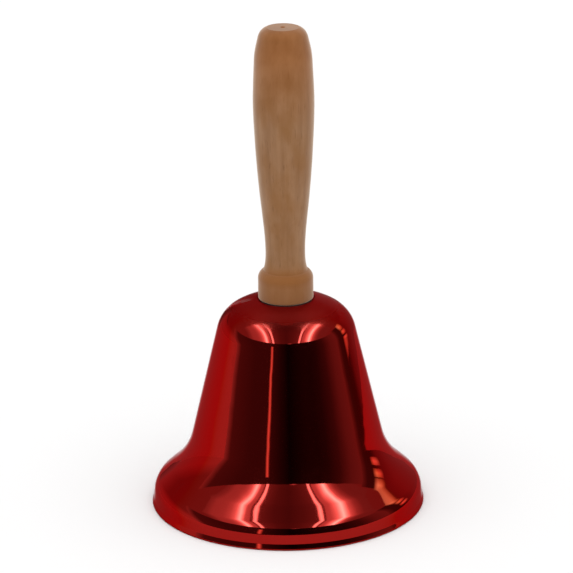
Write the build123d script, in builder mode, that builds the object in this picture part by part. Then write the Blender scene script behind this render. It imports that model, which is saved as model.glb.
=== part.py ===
"""Hand-rung fire alarm bell: a pressed steel cup on a turned wooden handle, with a clapper swinging inside.

Frame: +Z up along the axis of the bell, origin at the centre of the mouth, on the plane that the rim
stands on. The clapper swings about a pin along Y. Sizes are in millimetres.
"""

import math
import os

from build123d import *

# ---------------------------------------------------------------- driving dimensions

# Bell shell: one steel sheet. Its wall angles are measured from the vertical.
SHEET = 1.0
RIM_R = 63.25  # outside of the lip: a nominal five-inch bell
LIP_CORNER = 0.7  # rounding of the folded edge that the bell stands on
LIP_LEAN = 17.5  # the lip flares outwards to the rim
LIP_LENGTH = 2.0
LIP_BEND = 1.5  # bend radius between lip and band
BAND_LEAN = 7.0  # the band above the lip is nearly upright
BAND_LENGTH = 3.5
HEM_ON_BAND = 1.0  # how far the folded leg inside reaches up the band
SKIRT_R = 9.0  # convex bend between band and flare
FLARE_ANGLE = 47.6
FLARE_LENGTH = 7.5
WAIST_R = 32.4  # long concave bend between flare and cone
CONE_ANGLE = 13.5
CONE_LENGTH = 52.7
SHOULDER_R = 15.5
SHOULDER_ANGLE = 61.5
DOME_R = 44.3
DOME_ANGLE = 76.5
RECESS_DEPTH = 0.45  # pressed seat that centres the handle
CROWN_HOLE_R = 3.2

# Handle: outline radii at heights above its foot.
FOOT_R = 12.65
FOOT_EDGE = 0.8
COLLAR_TOP = 9.7
NECK_R = 10.1
NECK_BASE = 13.6
NECK_LEAN = (-0.35, 1.0)  # direction of the outline where the neck rises out of the collar
GRIP = [(9.05, 23.6), (10.6, 42.4), (12.4, 61.6), (13.55, 81.1), (13.85, 96.0), (13.2, 111.0)]
GRIP_END = (11.2, 123.1)
GRIP_LEAN = (-0.26, 1.0)
HANDLE_LENGTH = 127.1
TOP_FLAT_R = 7.3
CENTRE_MARK_R = 1.3  # dimple that the lathe centre leaves
CENTRE_MARK_DEPTH = 0.9
PILOT_R = 3.02
PILOT_DEPTH = 38.0

# Handle fixing, down through the crown.
SEAT_WASHER = (12.0, 0.5)  # outer radius and thickness
CROWN_WASHER = (12.5, 1.5)
LOCK_WASHER = (5.4, 1.6)
LOCK_WASHER_GAP = 1.0
STUD_R = 3.0
STUD_IN_WOOD = 36.0
STUD_BELOW_NUT = 2.0
STUD_PITCH = 1.0
CROWN_NUT = (10.0, 5.0)  # across flats and height

# Clapper yoke and its pin.
YOKE_STRIP = 1.5
YOKE_WIDTH = 12.0
YOKE_GAP = 14.0
YOKE_BEND = 1.5
PIVOT_Z = 79.0
EAR_BELOW_PIVOT = 6.0
PIN_R = 2.0
PIN_FIT = 0.05  # radial running clearance on the pin
PIN_HEAD = (3.75, 1.5)
PIN_WASHER = (4.5, 0.6)
CLIP = (4.2, 0.7)
CLIP_GROOVE_R = 1.5
CLIP_SLOT = 2.6
PIN_TAIL = 0.9
SPACER_R = 3.4
SPACER_SIDE_PLAY = 0.15

# Clapper.
EYE_R = 5.0
EYE_WIDTH = 7.0
BUSH_R = 3.0
ROD_R = 2.0
ROD_PITCH = 0.7
BALL_R = 12.0
BALL_DROP = 58.0  # pivot to ball centre
BALL_FLAT = 0.35  # depth of the flats that the nuts bear on
BALL_WASHER = (4.5, 0.8)
BALL_NUT = (7.0, 3.2)
ROD_TAIL = 0.8
SCREW_FIT = 0.02  # radial gap between a thread and its nut

# ---------------------------------------------------------------- derived sizes

shoulder_turn = SHOULDER_ANGLE - CONE_ANGLE
dome_turn = DOME_ANGLE - SHOULDER_ANGLE
pin_end = YOKE_GAP / 2 + YOKE_STRIP
ball_z = PIVOT_Z - BALL_DROP
ball_face = BALL_R - BALL_FLAT

os.makedirs("parts", exist_ok=True)


# ---------------------------------------------------------------- helpers


def save(builder, name):
    """Labels a finished piece and writes it as parts/NAME.step."""
    builder.part.label = name
    export_step(builder.part, f"parts/{name}.step")


def heading(angle):
    """Unit direction that climbs inwards at an angle from the vertical."""
    return Vector(-math.sin(math.radians(angle)), math.cos(math.radians(angle)))


def outward(angle):
    """Unit direction out of a wall that leans inwards at an angle from the vertical."""
    return Vector(math.cos(math.radians(angle)), math.sin(math.radians(angle)))


def lip_line(inset, foot):
    """The lip from its foot to the start of the band, moved into the metal by inset."""
    lip = Line(foot, lip_end - outward(LIP_LEAN) * inset)
    JernArc(lip @ 1, lip % 1, LIP_BEND + inset, BAND_LEAN - LIP_LEAN)


def band_point(inset, along):
    """A point at a distance up the band, moved into the metal by inset."""
    return lip_bend_centre - outward(BAND_LEAN) * (LIP_BEND + inset) + heading(BAND_LEAN) * along


def wall_line(inset, along):
    """The wall from a distance up the band to the pressed seat, moved into the metal by inset. Returns its last curve."""
    band = Line(band_point(inset, along), band_point(inset, BAND_LENGTH))
    skirt = JernArc(band @ 1, band % 1, SKIRT_R - inset, FLARE_ANGLE - BAND_LEAN)
    flare = Line(skirt @ 1, skirt @ 1 + heading(FLARE_ANGLE) * FLARE_LENGTH)
    waist = JernArc(flare @ 1, flare % 1, WAIST_R + inset, CONE_ANGLE - FLARE_ANGLE)
    cone = Line(waist @ 1, waist @ 1 + heading(CONE_ANGLE) * CONE_LENGTH)
    shoulder = JernArc(cone @ 1, cone % 1, SHOULDER_R - inset, shoulder_turn)
    dome = JernArc(shoulder @ 1, shoulder % 1, DOME_R - inset, dome_turn)
    return dome


def thread_rings(radius, pitch, low, high):
    """Cuts V grooves a pitch apart into a vertical shaft of the current part, between two heights."""
    depth = 0.54 * pitch
    for turn in range(int((high - low) / pitch)):
        z = low + (turn + 0.5) * pitch
        with BuildSketch(Plane.XZ) as groove:
            with BuildLine():
                Polyline(
                    (radius + 0.1, z - pitch / 2),
                    (radius - depth, z),
                    (radius + 0.1, z + pitch / 2),
                    close=True,
                )
            make_face()
        revolve(groove.sketch, axis=Axis.Z, mode=Mode.SUBTRACT)


def washer(outer_r, inner_r, low, thickness):
    """A flat ring in the current part, standing on a height."""
    with BuildSketch(Plane.XY.offset(low)) as ring:
        Circle(outer_r)
        Circle(inner_r, mode=Mode.SUBTRACT)
    extrude(ring.sketch, amount=thickness)


def hex_nut(flats, height, bore_r, low):
    """A hexagon nut in the current part, with its corners turned off top and bottom."""
    with BuildSketch(Plane.XY.offset(low)) as hexagon:
        RegularPolygon(flats / 2, 6, major_radius=False)
        Circle(bore_r, mode=Mode.SUBTRACT)
    extrude(hexagon.sketch, amount=height)
    corner_r = flats / math.sqrt(3)
    bevel = (corner_r - 0.96 * flats / 2) * math.tan(math.radians(30))
    with BuildSketch(Plane.XZ) as turned:
        with BuildLine():
            Polyline(
                (0, low),
                (0.96 * flats / 2, low),
                (corner_r, low + bevel),
                (corner_r, low + height - bevel),
                (0.96 * flats / 2, low + height),
                (0, low + height),
                close=True,
            )
        make_face()
    revolve(turned.sketch, axis=Axis.Z, mode=Mode.INTERSECT)


# ---------------------------------------------------------------- bell shell

outer_corner_r = RIM_R - LIP_CORNER
inner_corner_r = outer_corner_r - 2 * (SHEET - LIP_CORNER) / math.cos(math.radians(LIP_LEAN))
lip_end = Vector(outer_corner_r, LIP_CORNER) + outward(LIP_LEAN) * LIP_CORNER + heading(LIP_LEAN) * LIP_LENGTH
lip_bend_centre = lip_end + outward(LIP_LEAN) * LIP_BEND

with BuildPart() as bell_shell:
    with BuildSketch(Plane.XZ):
        with BuildLine():
            stand = Line((inner_corner_r, 0), (outer_corner_r, 0))
            outer_corner = JernArc(stand @ 1, (1, 0), LIP_CORNER, 90 + LIP_LEAN)
            lip_line(0, outer_corner @ 1)
            outside = wall_line(0, 0)
            dome_end = outside @ 1
            seat_z = dome_end.Y - RECESS_DEPTH
            riser = Line(dome_end, (dome_end.X - RECESS_DEPTH / 2, seat_z))
            seat = Line(riser @ 1, (CROWN_HOLE_R, seat_z))
            hole = Line(seat @ 1, (CROWN_HOLE_R, seat_z - SHEET))
            under_seat = Line(hole @ 1, ((riser @ 1).X - SHEET / 2, seat_z - SHEET))
            inside = wall_line(SHEET, HEM_ON_BAND)
            inner_riser = Line(under_seat @ 1, inside @ 1)
            hem_top = Line(band_point(SHEET, HEM_ON_BAND), band_point(2 * SHEET, HEM_ON_BAND))
            leg = Line(hem_top @ 1, band_point(2 * SHEET, 0))
            inner_corner = JernArc(stand @ 0, (-1, 0), LIP_CORNER, LIP_LEAN - 90)
            lip_line(2 * SHEET, inner_corner @ 1)
        make_face()
    revolve(axis=Axis.Z)
save(bell_shell, "bell_shell")

# ---------------------------------------------------------------- handle and its fixing

foot_z = seat_z + SEAT_WASHER[1]
top_z = foot_z + HANDLE_LENGTH

with BuildPart() as seat_washer:
    washer(SEAT_WASHER[0], CROWN_HOLE_R, seat_z, SEAT_WASHER[1])
save(seat_washer, "seat_washer")

with BuildPart() as handle:
    with BuildSketch(Plane.XZ):
        with BuildLine():
            underside = Line((0, foot_z), (FOOT_R - FOOT_EDGE, foot_z))
            foot_edge = JernArc(underside @ 1, (1, 0), FOOT_EDGE, 90)
            collar = Line(foot_edge @ 1, (FOOT_R, foot_z + COLLAR_TOP))
            ovolo = TangentArc(collar @ 1, (NECK_R, foot_z + NECK_BASE), tangent=(0, 1))
            grip_points = [(radius, foot_z + height) for radius, height in [*GRIP, GRIP_END]]
            grip = Spline(ovolo @ 1, *grip_points, tangents=(NECK_LEAN, GRIP_LEAN))
            top_edge = TangentArc(grip @ 1, (TOP_FLAT_R, top_z), tangent=GRIP_LEAN)
            mark = Line((CENTRE_MARK_R, top_z), (0, top_z - CENTRE_MARK_DEPTH))
            Line(top_edge @ 1, mark @ 0)
            Line(mark @ 1, underside @ 0)
        make_face()
    revolve(axis=Axis.Z)
    with Locations(Plane(origin=(0, 0, foot_z), z_dir=(0, 0, -1))):
        Hole(PILOT_R, depth=PILOT_DEPTH)
save(handle, "handle")

under_crown = seat_z - SHEET

with BuildPart() as crown_washer:
    washer(CROWN_WASHER[0], CROWN_HOLE_R, under_crown - CROWN_WASHER[1], CROWN_WASHER[1])
save(crown_washer, "crown_washer")

yoke_top = under_crown - CROWN_WASHER[1]
lock_z = yoke_top - YOKE_STRIP - LOCK_WASHER[1]
nut_z = lock_z - CROWN_NUT[1]
stud_end = nut_z - STUD_BELOW_NUT

with BuildPart() as lock_washer:
    washer(LOCK_WASHER[0], CROWN_HOLE_R, lock_z, LOCK_WASHER[1])
    # The split that makes a spring of the ring, cut at a slant.
    with BuildSketch(Plane.XZ):
        with BuildLine():
            lean = LOCK_WASHER[1] / 2
            Polyline(
                (-lean, lock_z),
                (-lean + LOCK_WASHER_GAP, lock_z),
                (lean + LOCK_WASHER_GAP, lock_z + LOCK_WASHER[1]),
                (lean, lock_z + LOCK_WASHER[1]),
                close=True,
            )
        make_face()
    extrude(amount=LOCK_WASHER[0] + 1, mode=Mode.SUBTRACT)
save(lock_washer, "lock_washer")

with BuildPart() as crown_nut:
    hex_nut(*CROWN_NUT, STUD_R + SCREW_FIT, nut_z)
save(crown_nut, "crown_nut")

with BuildPart() as hanger_stud:
    with BuildSketch(Plane.XZ):
        with BuildLine():
            Polyline(
                (0, stud_end),
                (STUD_R - 0.5, stud_end),
                (STUD_R, stud_end + 0.5),
                (STUD_R, foot_z + STUD_IN_WOOD - 2 * STUD_R),
                (0, foot_z + STUD_IN_WOOD),
                close=True,
            )
        make_face()
    revolve(axis=Axis.Z)
    thread_rings(STUD_R, STUD_PITCH, stud_end + 0.5, nut_z)
save(hanger_stud, "hanger_stud")

# ---------------------------------------------------------------- clapper yoke and pin

with BuildPart() as clapper_yoke:
    with BuildSketch(Plane.YZ):
        ear_height = yoke_top - PIVOT_Z + EAR_BELOW_PIVOT
        with Locations((0, yoke_top)):
            Rectangle(YOKE_GAP + 2 * YOKE_STRIP, ear_height, align=(Align.CENTER, Align.MAX))
        with Locations((0, yoke_top - YOKE_STRIP)):
            Rectangle(YOKE_GAP, ear_height, align=(Align.CENTER, Align.MAX), mode=Mode.SUBTRACT)
    extrude(amount=YOKE_WIDTH / 2, both=True)
    along_strip = clapper_yoke.edges().filter_by(Axis.X)
    fillet(along_strip.group_by(Axis.Z)[-1], radius=YOKE_BEND + YOKE_STRIP)
    inner_bends = clapper_yoke.edges().filter_by(Axis.X).filter_by(
        lambda edge: abs(edge.center().Z - yoke_top + YOKE_STRIP) < 0.01
    )
    fillet(inner_bends, radius=YOKE_BEND)
    ear_corners = clapper_yoke.edges().filter_by(Axis.Y).group_by(Axis.Z)[0]
    fillet(ear_corners, radius=YOKE_WIDTH / 2 - 0.4)
    with Locations((0, 0, yoke_top)):
        Hole(CROWN_HOLE_R, depth=2 * YOKE_STRIP)
    with Locations(Plane(origin=(0, pin_end, PIVOT_Z), z_dir=(0, 1, 0))):
        Hole(PIN_R + PIN_FIT, depth=2 * pin_end)
save(clapper_yoke, "clapper_yoke")

# The pin and what is on it are stacked along +Y from the far face of one ear.
washer_end = pin_end + PIN_WASHER[1]
clip_start = washer_end + 0.1
clip_end = clip_start + CLIP[1]
pin_plane = Plane(origin=(0, 0, PIVOT_Z), x_dir=(1, 0, 0), z_dir=(0, 1, 0))

with BuildPart() as yoke_pin:
    with BuildSketch(pin_plane.offset(-pin_end - PIN_HEAD[1])):
        Circle(PIN_HEAD[0])
    extrude(amount=PIN_HEAD[1])
    fillet(yoke_pin.edges().group_by(Axis.Y)[0], radius=0.5)
    with BuildSketch(pin_plane.offset(-pin_end)):
        Circle(PIN_R)
    extrude(amount=pin_end + clip_end + PIN_TAIL)
    chamfer(yoke_pin.edges().group_by(Axis.Y)[-1], length=0.4)
    with BuildSketch(pin_plane.offset(clip_start - 0.05)):
        Circle(PIN_R + 1)
        Circle(CLIP_GROOVE_R, mode=Mode.SUBTRACT)
    extrude(amount=CLIP[1] + 0.1, mode=Mode.SUBTRACT)
save(yoke_pin, "yoke_pin")

with BuildPart() as pin_washer:
    with BuildSketch(pin_plane.offset(pin_end)):
        Circle(PIN_WASHER[0])
        Circle(PIN_R + PIN_FIT, mode=Mode.SUBTRACT)
    extrude(amount=PIN_WASHER[1])
save(pin_washer, "pin_washer")

with BuildPart() as pin_clip:
    with BuildSketch(pin_plane.offset(clip_start)):
        Circle(CLIP[0])
        Circle(PIN_R + 0.5, mode=Mode.SUBTRACT)
        # Three fingers reach in to the groove.
        with PolarLocations((CLIP_GROOVE_R + PIN_R + 0.7) / 2 + SCREW_FIT, 3, start_angle=90):
            Rectangle(PIN_R + 0.7 - CLIP_GROOVE_R, 1.3)
        with Locations((0, -CLIP[0])):
            Rectangle(CLIP_SLOT, CLIP[0] * 1.4, mode=Mode.SUBTRACT)
        Circle(CLIP_GROOVE_R + SCREW_FIT, mode=Mode.SUBTRACT)
    extrude(amount=CLIP[1])
save(pin_clip, "pin_clip")

with BuildPart() as pin_spacers:
    spacer_length = (YOKE_GAP - EYE_WIDTH) / 2 - 2 * SPACER_SIDE_PLAY
    spacer_starts = (EYE_WIDTH / 2 + SPACER_SIDE_PLAY, SPACER_SIDE_PLAY - YOKE_GAP / 2)
    for spacer_start in spacer_starts:
        with BuildSketch(pin_plane.offset(spacer_start)):
            Circle(SPACER_R)
            Circle(PIN_R + PIN_FIT, mode=Mode.SUBTRACT)
        extrude(amount=spacer_length)
save(pin_spacers, "pin_spacers")

# ---------------------------------------------------------------- clapper

upper_washer_z = ball_z + ball_face
upper_nut_z = upper_washer_z + BALL_WASHER[1]
lower_nut_z = ball_z - ball_face - BALL_NUT[1]
rod_end = lower_nut_z - ROD_TAIL
thread_top = upper_nut_z + BALL_NUT[1] + 3.0

with BuildPart() as clapper_rod:
    with BuildSketch(pin_plane.offset(-EYE_WIDTH / 2)):
        Circle(EYE_R)
    extrude(amount=EYE_WIDTH)
    fillet(clapper_rod.edges().filter_by(GeomType.CIRCLE), radius=0.6)
    with BuildSketch(Plane.XY.offset(rod_end)):
        Circle(ROD_R)
    extrude(amount=PIVOT_Z - EYE_R / 2 - rod_end)
    chamfer(clapper_rod.edges().group_by(Axis.Z)[0], length=0.3)
    # A swelling under the eye carries the rod into it.
    with BuildSketch(Plane.XY.offset(PIVOT_Z - EYE_R - 3.5)):
        Circle(ROD_R)
    with BuildSketch(Plane.XY.offset(PIVOT_Z - EYE_R + 0.8)):
        Circle(ROD_R + 1.0)
    loft()
    with Locations(Plane(origin=(0, EYE_WIDTH / 2, PIVOT_Z), z_dir=(0, 1, 0))):
        Hole(BUSH_R + 0.01, depth=2 * EYE_WIDTH)
    thread_rings(ROD_R, ROD_PITCH, upper_nut_z + BALL_NUT[1], thread_top)
    thread_rings(ROD_R, ROD_PITCH, rod_end + 0.3, lower_nut_z)
save(clapper_rod, "clapper_rod")

with BuildPart() as eye_bush:
    with BuildSketch(pin_plane.offset(-EYE_WIDTH / 2)):
        Circle(BUSH_R)
        Circle(PIN_R + PIN_FIT, mode=Mode.SUBTRACT)
    extrude(amount=EYE_WIDTH)
save(eye_bush, "eye_bush")

with BuildPart() as clapper_ball:
    with Locations((0, 0, ball_z)):
        Sphere(BALL_R)
        Box(2 * BALL_R, 2 * BALL_R, 2 * ball_face, mode=Mode.INTERSECT)
        Cylinder(ROD_R + SCREW_FIT, 2 * BALL_R, mode=Mode.SUBTRACT)
save(clapper_ball, "clapper_ball")

with BuildPart() as ball_washer:
    washer(BALL_WASHER[0], ROD_R + PIN_FIT, upper_washer_z, BALL_WASHER[1])
save(ball_washer, "ball_washer")

for nut_name, nut_low in (("ball_lock_nut", upper_nut_z), ("clapper_tip_nut", lower_nut_z)):
    with BuildPart() as ball_nut:
        hex_nut(*BALL_NUT, ROD_R + SCREW_FIT, nut_low)
    save(ball_nut, nut_name)
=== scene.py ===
import math

import bpy
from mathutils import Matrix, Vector


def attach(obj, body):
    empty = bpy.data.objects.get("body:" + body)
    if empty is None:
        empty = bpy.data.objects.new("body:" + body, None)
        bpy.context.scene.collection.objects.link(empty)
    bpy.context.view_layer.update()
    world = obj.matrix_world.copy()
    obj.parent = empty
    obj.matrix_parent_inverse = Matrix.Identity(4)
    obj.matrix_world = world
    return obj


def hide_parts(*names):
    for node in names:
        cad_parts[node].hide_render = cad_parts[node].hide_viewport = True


# Looks for the hand-rung fire alarm bell: a red lacquered steel cup on a turned wooden handle.
# The cup is lathed here, on the CAD's own sizes, with an even mesh that mirrors cleanly.
# The handle, the clapper and their fixings keep their CAD meshes and get their finish here.

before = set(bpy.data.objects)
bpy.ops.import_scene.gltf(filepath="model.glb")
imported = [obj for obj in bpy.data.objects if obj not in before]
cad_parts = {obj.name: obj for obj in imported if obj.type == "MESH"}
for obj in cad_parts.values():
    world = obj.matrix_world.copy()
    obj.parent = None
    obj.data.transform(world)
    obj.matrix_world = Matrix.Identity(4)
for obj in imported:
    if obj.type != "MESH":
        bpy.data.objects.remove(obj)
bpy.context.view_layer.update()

MM = 0.001

# ---------------------------------------------------------------- the bell wall, in mm and degrees

SHEET = 1.0
RIM_R = 63.25
LIP_CORNER = 0.7
LIP_LEAN = 17.5
LIP_LENGTH = 2.0
LIP_BEND = 1.5
BAND_LEAN = 7.0
BAND_LENGTH = 3.5
HEM_ON_BAND = 1.0
SKIRT_R = 9.0
FLARE_ANGLE = 47.6
FLARE_LENGTH = 7.5
WAIST_R = 32.4
CONE_ANGLE = 13.5
CONE_LENGTH = 52.7
SHOULDER_R = 15.5
SHOULDER_ANGLE = 61.5
DOME_R = 44.3
DOME_ANGLE = 76.5
RECESS_DEPTH = 0.45
CROWN_HOLE_R = 3.2

ARC_STEP = 1.6  # degrees of outline arc to one ring of the mesh
SEGMENTS = 224  # sides of each ring
SHARP_ANGLE = 38  # degrees between faces that are shaded as an edge

# ---------------------------------------------------------------- meshes


def add_object(name, vertices, faces):
    """A new mesh object in the scene."""
    mesh = bpy.data.meshes.new(name)
    mesh.from_pydata(vertices, [], faces)
    obj = bpy.data.objects.new(name, mesh)
    bpy.context.scene.collection.objects.link(obj)
    return obj


def ring_point(turn, radius, height):
    """A point on a level ring about the bell's axis, at a share of a full turn from +X."""
    angle = 2 * math.pi * turn
    return (radius * math.cos(angle), radius * math.sin(angle), height)


class Outline:
    """Points (radius, height) along the edge of a turned piece.

    The heading is in degrees and leans inwards from straight up."""

    def __init__(self, radius, height, heading=0.0):
        self.points = [(radius, height)]
        self.heading = heading

    def run(self, length, steps=1):
        radius, height = self.points[-1]
        lean = math.radians(self.heading)
        for step in range(1, steps + 1):
            along = length * step / steps
            self.points.append((radius - along * math.sin(lean), height + along * math.cos(lean)))

    def arc(self, bend, turn):
        """Turns inwards through an angle on a bend radius, or outwards at a negative angle."""
        radius, height = self.points[-1]
        side = math.copysign(1.0, turn)
        lean = math.radians(self.heading)
        centre_r = radius - side * bend * math.cos(lean)
        centre_z = height - side * bend * math.sin(lean)
        steps = max(5, math.ceil(abs(turn) / ARC_STEP))
        for step in range(1, steps + 1):
            lean = math.radians(self.heading + turn * step / steps)
            radius = centre_r + side * bend * math.cos(lean)
            height = centre_z + side * bend * math.sin(lean)
            self.points.append((radius, height))
        self.heading += turn

    def to(self, *points):
        self.points.extend(points)


def add_lip(outline, inset, length):
    """Takes an outline up the lip and round its bend to the start of the band, inset into the metal."""
    outline.run(length, steps=3)
    outline.arc(LIP_BEND + inset, BAND_LEAN - LIP_LEAN)


def add_wall(outline, inset, along):
    """Takes an outline from a distance up the band to the pressed seat, inset into the metal."""
    outline.run(BAND_LENGTH - along, steps=3)
    outline.arc(SKIRT_R - inset, FLARE_ANGLE - BAND_LEAN)
    outline.run(FLARE_LENGTH, steps=3)
    outline.arc(WAIST_R + inset, CONE_ANGLE - FLARE_ANGLE)
    outline.run(CONE_LENGTH, steps=16)
    outline.arc(SHOULDER_R - inset, SHOULDER_ANGLE - CONE_ANGLE)
    outline.arc(DOME_R - inset, DOME_ANGLE - SHOULDER_ANGLE)


def lathe(name, points):
    """Spins a closed loop of (radius, height) points, in mm, around Z into a smooth mesh object."""
    vertices = []
    faces = []
    for ring, (radius, height) in enumerate(points):
        low, high = ring * SEGMENTS, (ring + 1) % len(points) * SEGMENTS
        for side in range(SEGMENTS):
            after = (side + 1) % SEGMENTS
            vertices.append(ring_point(side / SEGMENTS, radius * MM, height * MM))
            faces.append((low + side, low + after, high + after, high + side))
    turned = add_object(name, vertices, faces)
    turned.data.validate()
    turned.data.shade_smooth()
    turned.data.set_sharp_from_angle(angle=math.radians(SHARP_ANGLE))
    return turned


def make_cup():
    """The bell wall as one closed section.

    It goes up the lip and the wall to the seat and its hole, and back down the inside to the leg
    that is folded up behind the lip."""
    fold = 2 * (SHEET - LIP_CORNER)
    lean = math.radians(LIP_LEAN)
    stand = fold / math.cos(lean)
    outside = Outline(RIM_R - LIP_CORNER - stand, 0, heading=-90)
    outside.run(stand)
    outside.arc(LIP_CORNER, 90 + LIP_LEAN)
    add_lip(outside, 0, LIP_LENGTH)
    band_r, band_z = outside.points[-1]
    add_wall(outside, 0, 0)
    dome_r, dome_z = outside.points[-1]
    seat_z = dome_z - RECESS_DEPTH
    riser_r = dome_r - RECESS_DEPTH / 2
    outside.to((riser_r, seat_z), (CROWN_HOLE_R, seat_z))
    outside.to((CROWN_HOLE_R, seat_z - SHEET), (riser_r - SHEET / 2, seat_z - SHEET))

    tilt = math.radians(BAND_LEAN)
    inside = Outline(band_r - SHEET * math.cos(tilt), band_z - SHEET * math.sin(tilt), BAND_LEAN)
    inside.run(HEM_ON_BAND)
    inside.points = inside.points[-1:]
    add_wall(inside, SHEET, HEM_ON_BAND)
    leg = Outline(RIM_R - LIP_CORNER - stand, 0, heading=90)
    leg.arc(LIP_CORNER, LIP_LEAN - 90)
    add_lip(leg, 2 * SHEET, LIP_LENGTH - fold * math.tan(lean))
    leg.run(HEM_ON_BAND)
    return lathe("bell_cup", outside.points + inside.points[::-1] + leg.points[:0:-1])


# ---------------------------------------------------------------- materials


def shader(name):
    """A new material, with its node tree and its Principled shader."""
    material = bpy.data.materials.new(name)
    material.use_nodes = True
    tree = material.node_tree
    return material, tree, tree.nodes["Principled BSDF"]


def noise(tree, vector, scale, detail=2.0):
    """A cloudy pattern, as a value from 0 to 1."""
    node = tree.nodes.new("ShaderNodeTexNoise")
    node.inputs["Scale"].default_value = scale
    node.inputs["Detail"].default_value = detail
    tree.links.new(vector, node.inputs["Vector"])
    return node.outputs["Fac"]


def spread(tree, value, low, high, first, last):
    """Maps a value between low and high onto first to last."""
    node = tree.nodes.new("ShaderNodeMapRange")
    for key, setting in (("From Min", low), ("From Max", high), ("To Min", first), ("To Max", last)):
        node.inputs[key].default_value = setting
    tree.links.new(value, node.inputs["Value"])
    return node.outputs[0]


def blend(tree, share, first, second):
    """Mixes two colours, each a plain colour or a socket, by a share."""
    node = tree.nodes.new("ShaderNodeMix")
    node.data_type = "RGBA"
    tree.links.new(share, node.inputs["Factor"])
    for socket, colour in ((node.inputs["A"], first), (node.inputs["B"], second)):
        if isinstance(colour, tuple):
            socket.default_value = (*colour, 1)
        else:
            tree.links.new(colour, socket)
    return node.outputs["Result"]


def relief(tree, surface, height, depth):
    """Bumps the surface by a height, to a depth in metres, and gives the bumped normal back."""
    bump = tree.nodes.new("ShaderNodeBump")
    bump.inputs["Strength"].default_value = 1.0
    bump.inputs["Distance"].default_value = depth
    tree.links.new(height, bump.inputs["Height"])
    tree.links.new(bump.outputs[0], surface.inputs["Normal"])
    return bump.outputs[0]


def own_place(tree, stretch=(1, 1, 1)):
    """Coordinates on the object itself, stretched along its axes."""
    place = tree.nodes.new("ShaderNodeTexCoord")
    mapping = tree.nodes.new("ShaderNodeMapping")
    mapping.inputs["Scale"].default_value = stretch
    tree.links.new(place.outputs["Object"], mapping.inputs["Vector"])
    return mapping.outputs[0]


def height_of(tree, vector):
    """The Z of a place."""
    split = tree.nodes.new("ShaderNodeSeparateXYZ")
    tree.links.new(vector, split.inputs[0])
    return split.outputs["Z"]


def lacquer():
    """Clear red lacquer on mirror-bright metal, a little dulled on the crown."""
    shiny, dull = 0.055, 0.38
    dull_from, dull_above = 0.0915, 0.0965  # heights in metres
    material, tree, surface = shader("red_lacquer")
    surface.inputs["Base Color"].default_value = (0.31, 0.009, 0.007, 1)
    surface.inputs["Metallic"].default_value = 1.0
    surface.inputs["Specular Tint"].default_value = (0.55, 0.12, 0.12, 1)
    surface.inputs["Coat Weight"].default_value = 0.05
    surface.inputs["Coat Roughness"].default_value = 0.04
    surface.inputs["Coat IOR"].default_value = 1.4
    place = own_place(tree)
    rough = spread(tree, height_of(tree, place), dull_from, dull_above, shiny, dull)
    tree.links.new(rough, surface.inputs["Roughness"])
    bumped = relief(tree, surface, noise(tree, place, 55.0), 0.00011)
    tree.links.new(bumped, surface.inputs["Coat Normal"])
    return material


def wood():
    """Pale close-grained hardwood with long soft grain, fine flecks and warm mottling."""
    material, tree, surface = shader("wood")

    def pattern(stretch, detail):
        return noise(tree, own_place(tree, stretch), 1.0, detail)

    grain = spread(tree, pattern((330, 330, 13), 3.0), 0.32, 0.7, 0, 1)
    flecks = spread(tree, pattern((1500, 1500, 150), 2.0), 0.6, 0.75, 0, 0.55)
    mottle = spread(tree, pattern((120, 120, 70), 3.0), 0.36, 0.66, 0, 1)
    plain = blend(tree, grain, (0.325, 0.176, 0.090), (0.240, 0.120, 0.058))
    warm = blend(tree, spread(tree, mottle, 0, 1, 0, 0.85), plain, (0.250, 0.115, 0.043))
    body = blend(tree, flecks, warm, (0.17, 0.075, 0.033))
    # the wood is warmer towards the grip's top; darker towards the foot, as painted shade where it
    # stands on the crown; and darker on the collar's shoulder, partly its end grain and partly painted
    # shade
    height = height_of(tree, own_place(tree))
    near_top = spread(tree, height, 0.182, 0.214, 0, 0.85)
    foot_painted_shade = spread(tree, height, 0.118, 0.109, 0, 0.6)
    # a darker band on the collar's shoulder: partly end grain, partly painted shade in the groove at
    # the neck
    collar_band_grain_and_shade = tree.nodes.new("ShaderNodeMath")
    collar_band_grain_and_shade.operation = "MULTIPLY"
    tree.links.new(spread(tree, height, 0.1065, 0.1095, 0, 0.75), collar_band_grain_and_shade.inputs[0])
    tree.links.new(spread(tree, height, 0.1155, 0.112, 0, 1), collar_band_grain_and_shade.inputs[1])
    top_colour = blend(tree, mottle, (0.30, 0.118, 0.040), (0.235, 0.084, 0.024))
    topped = blend(tree, near_top, body, top_colour)
    # painted shade at the foot, where the handle meets the crown
    footed = blend(tree, foot_painted_shade, topped, (0.27, 0.108, 0.037))
    colour = blend(tree, collar_band_grain_and_shade.outputs[0], footed, (0.245, 0.092, 0.026))
    tree.links.new(colour, surface.inputs["Base Color"])
    tree.links.new(spread(tree, grain, 0, 1, 0.42, 0.56), surface.inputs["Roughness"])
    # sheen takes the place of gloss, which would pick up the colours of the cards
    surface.inputs["Specular IOR Level"].default_value = 0.0
    surface.inputs["Sheen Weight"].default_value = 0.9
    surface.inputs["Sheen Roughness"].default_value = 0.4
    surface.inputs["Sheen Tint"].default_value = (1, 0.88, 0.76, 1)
    relief(tree, surface, pattern((1100, 1100, 60), 2.0), 0.00003)
    return material


def metal(name, first, second, rough, stretch, depth=0.000008):
    """A metal whose tone and shine both drift, with fine marks along the way it was worked."""
    material, tree, surface = shader(name)
    surface.inputs["Metallic"].default_value = 1.0
    drift = spread(tree, noise(tree, own_place(tree), 260.0, 3.0), 0.35, 0.65, 0, 1)
    marks = noise(tree, own_place(tree, stretch), 1.0, 2.0)
    tree.links.new(blend(tree, drift, first, second), surface.inputs["Base Color"])
    tree.links.new(spread(tree, marks, 0.3, 0.7, rough[0], rough[1]), surface.inputs["Roughness"])
    relief(tree, surface, marks, depth)
    return material


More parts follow.
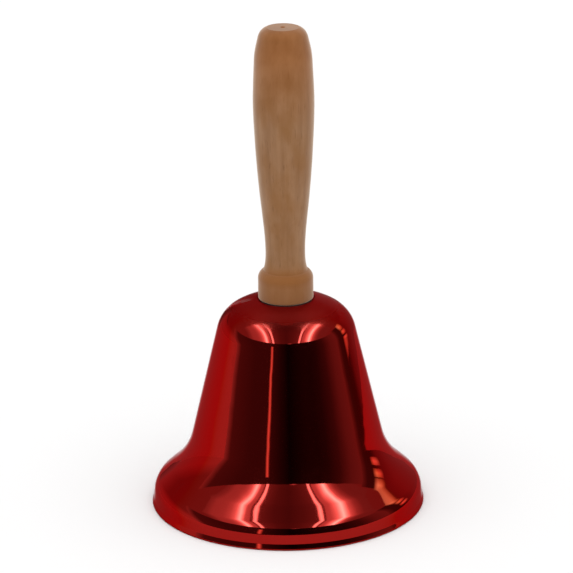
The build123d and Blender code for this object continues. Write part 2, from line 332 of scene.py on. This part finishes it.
def soft(name, first, second, rough, scale, depth):
    """A dull moulded or cut material with a fine grained face."""
    material, tree, surface = shader(name)
    cloud = noise(tree, own_place(tree), scale, 4.0)
    tone = blend(tree, spread(tree, cloud, 0.3, 0.7, 0, 1), first, second)
    tree.links.new(tone, surface.inputs["Base Color"])
    tree.links.new(spread(tree, cloud, 0.3, 0.7, rough[0], rough[1]), surface.inputs["Roughness"])
    relief(tree, surface, noise(tree, own_place(tree), scale * 4, 2.0), depth)
    surface.inputs["Specular IOR Level"].default_value = 0.1
    return material


cup = make_cup()
cup.data.materials.append(lacquer())
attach(cup, "bell")
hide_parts("bell_shell")

handle_wood = wood()
rubber = soft("rubber", (0.020, 0.020, 0.021), (0.045, 0.044, 0.043), (0.6, 0.8), 900, 0.00003)
nylon = soft("nylon", (0.74, 0.71, 0.63), (0.66, 0.63, 0.55), (0.38, 0.52), 500, 0.00001)
zinc = metal("zinc_steel", (0.66, 0.67, 0.66), (0.50, 0.52, 0.53), (0.24, 0.4), (900,) * 3)
fastener = metal("zinc_fastener", (0.60, 0.62, 0.64), (0.46, 0.48, 0.50), (0.26, 0.42), (2000,) * 3)
bright = metal("bright_steel", (0.60, 0.59, 0.57), (0.48, 0.47, 0.46), (0.16, 0.3), (300, 300, 4000))
spring = metal("spring_steel", (0.10, 0.11, 0.14), (0.16, 0.15, 0.15), (0.3, 0.45), (1500,) * 3)
bronze = metal("bronze", (0.45, 0.25, 0.11), (0.33, 0.18, 0.08), (0.35, 0.5), (2500,) * 3)
brass = metal("brass", (0.78, 0.54, 0.22), (0.64, 0.41, 0.15), (0.12, 0.24), (60, 60, 3500), 0.000004)
FINISHES = {
    handle_wood: ["handle"],
    rubber: ["seat_washer"],
    nylon: ["pin_spacers"],
    zinc: ["crown_washer", "clapper_yoke", "lock_washer", "crown_nut", "hanger_stud"],
    fastener: ["pin_washer", "ball_washer", "ball_lock_nut", "clapper_tip_nut"],
    bright: ["yoke_pin", "clapper_rod"],
    spring: ["pin_clip"],
    bronze: ["eye_bush"],
    brass: ["clapper_ball"],
}
for material, names in FINISHES.items():
    for name in names:
        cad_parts[name].data.materials[0] = material

# ---------------------------------------------------------------- studio

# The cards that the lacquer mirrors, in metres and degrees.
ROOM = 0.45  # distance of the low cards from the bell's axis
HIGH = 1.2  # distance of the overhead cards
CARD_COLUMNS, CARD_ROWS = 48, 24  # squares across and up a card
BLEACH = 0.55  # how fast the green and blue of a card rise with its brightness
UNSEEN_BY = ("camera", "diffuse", "transmission", "volume_scatter", "shadow")

# The photograph's viewpoint.
SENSOR_WIDTH = 36.0
LENS = 206.1
CAMERA_PLACE = (0, -1.4215, 0.5830)
CAMERA_AIM = (0.00036, 0, 0.10414)
CAMERA_ROLL = -0.65

FLOOR_MOUTH = 0.0621  # radius of the opening under the bell
FLOOR_REACH = 8.0
FLOOR_SIDES = 96


def glowing(name):
    """Emission in the colours that the mesh carries at its points."""
    material = bpy.data.materials.new(name)
    material.use_nodes = True
    nodes, links = material.node_tree.nodes, material.node_tree.links
    nodes.clear()
    carried = nodes.new("ShaderNodeAttribute")
    carried.attribute_name = "glow"
    glow = nodes.new("ShaderNodeEmission")
    out = nodes.new("ShaderNodeOutputMaterial")
    links.new(carried.outputs["Color"], glow.inputs["Color"])
    links.new(glow.outputs[0], out.inputs["Surface"])
    return material


def bleach(level, tint):
    """A card's colour at a brightness.

    The green and blue that red lacquer swallows are raised in the bright parts."""
    pale = 1 + BLEACH * level
    return (tint[0] * level, tint[1] * level * pale, tint[2] * level * pale, 1.0)


def around(azimuth, height, reach):
    """A point on a round wall about the bell.

    Azimuth 0 is towards the viewer (-Y), and positive to the right."""
    a = math.radians(azimuth)
    return Vector((math.sin(a) * reach, -math.cos(a) * reach, height))


def overhead(sideways, turn, reach):
    """A point on a barrel vault over the bell: turn runs from the viewer, at 0, over the top, at 90."""
    t = math.radians(turn)
    girth = math.sqrt(1 - sideways**2)
    return Vector((sideways, -math.cos(t) * girth, math.sin(t) * girth)) * reach


def blend_levels(levels, share):
    """Brightness at a share of the way through evenly spaced levels."""
    along = share * (len(levels) - 1)
    first = min(int(along), len(levels) - 2)
    return levels[first] + (levels[first + 1] - levels[first]) * (along - first)


def card(name, place, first, second, reach, levels, rise=(1, 1), tint=(1, 1, 1), taper=None):
    """A card that only reflections show.

    levels are its brightness along its first direction, and rise scales them along its second.
    taper is where the first direction ends at the far end of the second, if not in the same place."""
    far = first[1] if taper is None else taper
    vertices = []
    colours = []
    for row in range(CARD_ROWS + 1):
        v = row / CARD_ROWS
        end = first[1] + (far - first[1]) * v
        up = second[0] + (second[1] - second[0]) * v
        for column in range(CARD_COLUMNS + 1):
            u = column / CARD_COLUMNS
            vertices.append(place(first[0] + (end - first[0]) * u, up, reach))
            colours.extend(bleach(blend_levels(levels, u) * blend_levels(rise, v), tint))
    faces = []
    for row in range(CARD_ROWS):
        for column in range(CARD_COLUMNS):
            corner = row * (CARD_COLUMNS + 1) + column
            above = corner + CARD_COLUMNS + 1
            faces.append((corner, corner + 1, above + 1, above))
    obj = add_object(name, vertices, faces)
    layer = obj.data.attributes.new("glow", "FLOAT_COLOR", "POINT")
    layer.data.foreach_set("color", colours)
    obj.data.materials.append(glowing(name))
    for rays in UNSEEN_BY:
        setattr(obj, "visible_" + rays, False)


def studio():
    """The dark room, lamps and softboxes that stand in for what the photograph's lacquer mirrors."""
    # the dim room in front, mirrored by the cone
    low, high = 0.0, 0.3
    left = [0.045, 0.09, 0.11, 0.11, 0.115, 0.14, 0.165, 0.19, 0.7]
    middle = [0.045, 0.008, 0.02, 0.03, 0.031, 0.048]
    card("room_left", around, (-9, -73), (low, high), ROOM, left, taper=-108)
    card("room_middle", around, (-9, 46), (low, high), ROOM, middle)
    card("room_right", around, (46, 88), (low, high), ROOM, [0.05, 0.12, 0.32, 0.42])
    card("dark_post", around, (88, 113), (low, 0.33), ROOM, [0.34, 0.13, 0.12, 0.14, 0.32])
    card("room_far_right", around, (113, 176), (low, high), ROOM, [0.36, 0.6, 0.7, 0.8, 0.9])
    door = [0.3, 2.6, 0.3]
    card("doorway", around, (-24.5, -20.5), (0.03, 0.2), ROOM - 0.01, door, tint=(1, 0.8, 0.6))
    card("sill", around, (1, 11), (0.29, 0.302), ROOM - 0.01, [0.2, 1.8, 0.2])
    card("rail_left", around, (-156, -124), (0.2, 0.22), ROOM, [0.5, 0.3, 0.3, 0.5])
    shine = [0.6, 2.8, 2.4, 0.8]
    orange = (1, 2.5, 1.4)
    for number, span in enumerate(((0.045, 0.1), (0.125, 0.195), (0.205, 0.33)), start=1):
        lamp = f"lamp_{number}"
        card(lamp, around, (103, 116), span, ROOM - 0.02, shine, rise=[0.4, 1, 0.6], tint=orange)
    # the far side of the room, behind the bell
    back = [0.85, 0.5, 0.3, 0.25, 0.45, 0.85]
    card("room_back", around, (178, 214), (low, 0.26), ROOM + 0.05, back)
    card("window_back", around, (192, 198), (0.03, 0.24), ROOM + 0.03, [0.5, 2.0, 1.8, 0.5])
    # two softboxes overhead, their ribs, and the dim gap between them
    left_box = [1.4, 1.7, 7.5, 2.8, 1.6, 1.15, 1.05, 1.0, 0.7, 0.55]
    right_box = [1.4, 1.7, 3.5, 8.0, 2.2, 1.0, 0.55, 0.5, 0.5, 0.5]
    card("softbox_left", overhead, (-0.37, -0.9), (16, 100), HIGH, left_box, taper=-0.72)
    card("softbox_right", overhead, (0.37, 0.92), (16, 100), HIGH, right_box, taper=0.78)
    card("strip_left", overhead, (-0.30, -0.345), (18, 100), HIGH, [3, 6, 4])
    card("strip_right", overhead, (0.30, 0.345), (18, 100), HIGH, [3, 6, 4])
    dim, fade = [0.45, 0.26, 0.2, 0.28, 0.42], [1.2, 1.0, 1.0, 0.7, 0.6]
    card("gap", overhead, (-0.29, 0.29), (20, 110), HIGH, dim, rise=fade)


def make_world():
    """White from the horizon down, dimmer overhead."""
    at_horizon, at_top = 0.92, 0.5
    fade_from, fade_to = 0.12, 0.34  # rise of the direction, 1 being straight up
    world = bpy.data.worlds.new("studio")
    bpy.context.scene.world = world
    world.use_nodes = True
    tree = world.node_tree
    back = tree.nodes["Background"]
    back.inputs["Color"].default_value = (1, 1, 1, 1)
    place = tree.nodes.new("ShaderNodeTexCoord")
    rise = height_of(tree, place.outputs["Generated"])
    strength = spread(tree, rise, fade_from, fade_to, at_horizon, at_top)
    tree.links.new(strength, back.inputs["Strength"])


def make_floor():
    """A wide pale floor, left open under the bell's mouth so that the inside shows from below."""
    vertices = []
    faces = []
    for side in range(FLOOR_SIDES):
        vertices.append(ring_point(side / FLOOR_SIDES, FLOOR_MOUTH, 0))
        vertices.append(ring_point(side / FLOOR_SIDES, FLOOR_REACH, 0))
        corner, after = 2 * side, 2 * ((side + 1) % FLOOR_SIDES)
        faces.append((corner, corner + 1, after + 1, after))
    floor = add_object("floor", vertices, faces)
    material, tree, surface = shader("floor")
    surface.inputs["Base Color"].default_value = (0.9, 0.9, 0.9, 1)
    surface.inputs["Roughness"].default_value = 0.9
    surface.inputs["Specular IOR Level"].default_value = 0.0
    # seen from below it is clear, so that the mouth of the bell shows
    facing = tree.nodes.new("ShaderNodeNewGeometry")
    clear = tree.nodes.new("ShaderNodeBsdfTransparent")
    choice = tree.nodes.new("ShaderNodeMixShader")
    tree.links.new(facing.outputs["Backfacing"], choice.inputs["Fac"])
    tree.links.new(surface.outputs[0], choice.inputs[1])
    tree.links.new(clear.outputs[0], choice.inputs[2])
    tree.links.new(choice.outputs[0], tree.nodes["Material Output"].inputs["Surface"])
    floor.data.materials.append(material)


def make_light():
    """Soft light from a wide patch of sky above, which mirrors don't show: the cards do that."""
    data = bpy.data.lights.new("soft_top", "SUN")
    data.energy = 2.0
    data.angle = math.radians(100)
    lamp = bpy.data.objects.new("soft_top", data)
    lamp.rotation_euler = (math.radians(12), 0, 0)
    bpy.context.scene.collection.objects.link(lamp)
    lamp.visible_glossy = False
    lamp.visible_camera = False


def make_camera():
    """The photograph's viewing angle, with its slight roll."""
    data = bpy.data.cameras.new("camera")
    data.sensor_width = SENSOR_WIDTH
    data.lens = LENS
    camera = bpy.data.objects.new("camera", data)
    bpy.context.scene.collection.objects.link(camera)
    camera.location = CAMERA_PLACE
    sight = Vector(CAMERA_AIM) - camera.location
    camera.rotation_euler = sight.to_track_quat("-Z", "Y").to_euler()
    camera.rotation_euler.rotate_axis("Z", math.radians(CAMERA_ROLL))
    bpy.context.scene.camera = camera


studio()
make_world()
make_floor()
make_light()
make_camera()
bpy.context.scene.view_settings.view_transform = "Standard"
